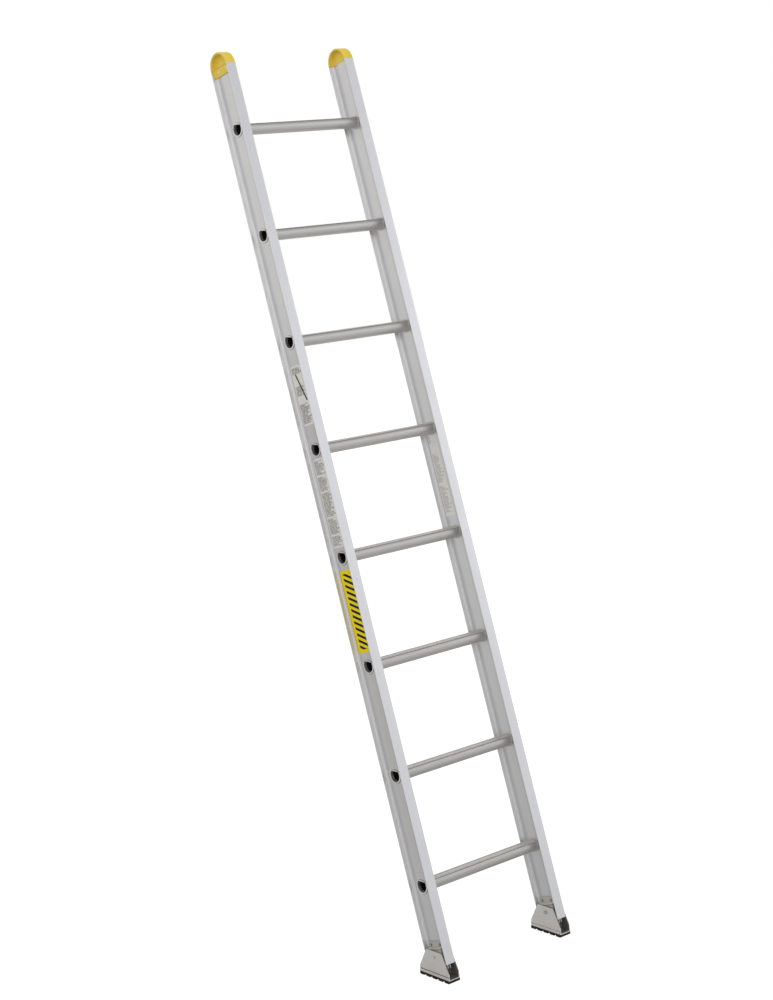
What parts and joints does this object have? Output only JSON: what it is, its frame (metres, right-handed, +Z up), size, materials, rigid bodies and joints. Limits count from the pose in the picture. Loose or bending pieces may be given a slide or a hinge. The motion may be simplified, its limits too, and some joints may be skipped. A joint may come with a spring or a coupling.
{
  "type": "straight ladder",
  "caption": "Straight single-section ladder with I-section rails, flat-topped tubular rungs, moulded end caps and swivelling rubber-soled shoes, leaning as in use.",
  "frame": {"origin": "centre of the part's box at floor level, on the plane of both soles", "axes": "+X across the ladder to the right rail as the climber faces it, -Y is the climber's side, +Y the wall, +Z up"},
  "size_m": [0.4602, 0.7222, 2.527],
  "materials": {
    "rail_aluminium": "mill-finish extruded, fine lines along the length",
    "rung_aluminium": "mill-finish drawn tube, satin",
    "cap_yellow": "moulded, semi-gloss",
    "bracket_aluminium": "extruded, dull",
    "rivet_aluminium": "set rivet heads, satin",
    "shoe_aluminium": "pressed, dull satin",
    "tread_rubber": "moulded, matt black",
    "zinc_steel": "zinc plated",
    "nylon": "natural, matt",
    "band_yellow": "printed film, gloss",
    "label_clear": "clear film, satin",
    "label_pale": "pale film, satin"
  },
  "bodies": {
    "ladder": {"left_rail": "rail_aluminium", "right_rail": "rail_aluminium", "rung_1": "rung_aluminium", "rung_2": "rung_aluminium", "rung_3": "rung_aluminium", "rung_4": "rung_aluminium", "rung_5": "rung_aluminium", "rung_6": "rung_aluminium", "rung_7": "rung_aluminium", "rung_8": "rung_aluminium", "left_end_cap": "cap_yellow", "right_end_cap": "cap_yellow", "left_cap_rivets": "rivet_aluminium", "right_cap_rivets": "rivet_aluminium", "left_outer_bracket": "bracket_aluminium", "left_inner_bracket": "bracket_aluminium", "left_bracket_rivets": "rivet_aluminium", "right_outer_bracket": "bracket_aluminium", "right_inner_bracket": "bracket_aluminium", "right_bracket_rivets": "rivet_aluminium", "left_pivot_bolt": "zinc_steel", "left_pivot_nut": "zinc_steel", "left_pivot_sleeves": "zinc_steel", "left_pivot_washers": "nylon", "right_pivot_bolt": "zinc_steel", "right_pivot_nut": "zinc_steel", "right_pivot_sleeves": "zinc_steel", "right_pivot_washers": "nylon", "yellow_band_label": "band_yellow", "long_clear_label": "label_clear", "short_pale_label": "label_pale", "narrow_label": "label_pale"},
    "left_foot": {"left_shoe": "shoe_aluminium", "left_tread": "tread_rubber", "left_tread_rivets": "rivet_aluminium"},
    "right_foot": {"right_shoe": "shoe_aluminium", "right_tread": "tread_rubber", "right_tread_rivets": "rivet_aluminium"}
  },
  "joints": [
    {"name": "left_shoe_swivel", "type": "hinge", "parent": "ladder", "child": "left_foot", "pos_m": [-0.2093, -0.3062, 0.0625], "axis": [1, 0, 0], "range_deg": [-112, 82]},
    {"name": "right_shoe_swivel", "type": "hinge", "parent": "ladder", "child": "right_foot", "pos_m": [0.2093, -0.3062, 0.0625], "axis": [1, 0, 0], "range_deg": [-112, 82]}
  ]
}
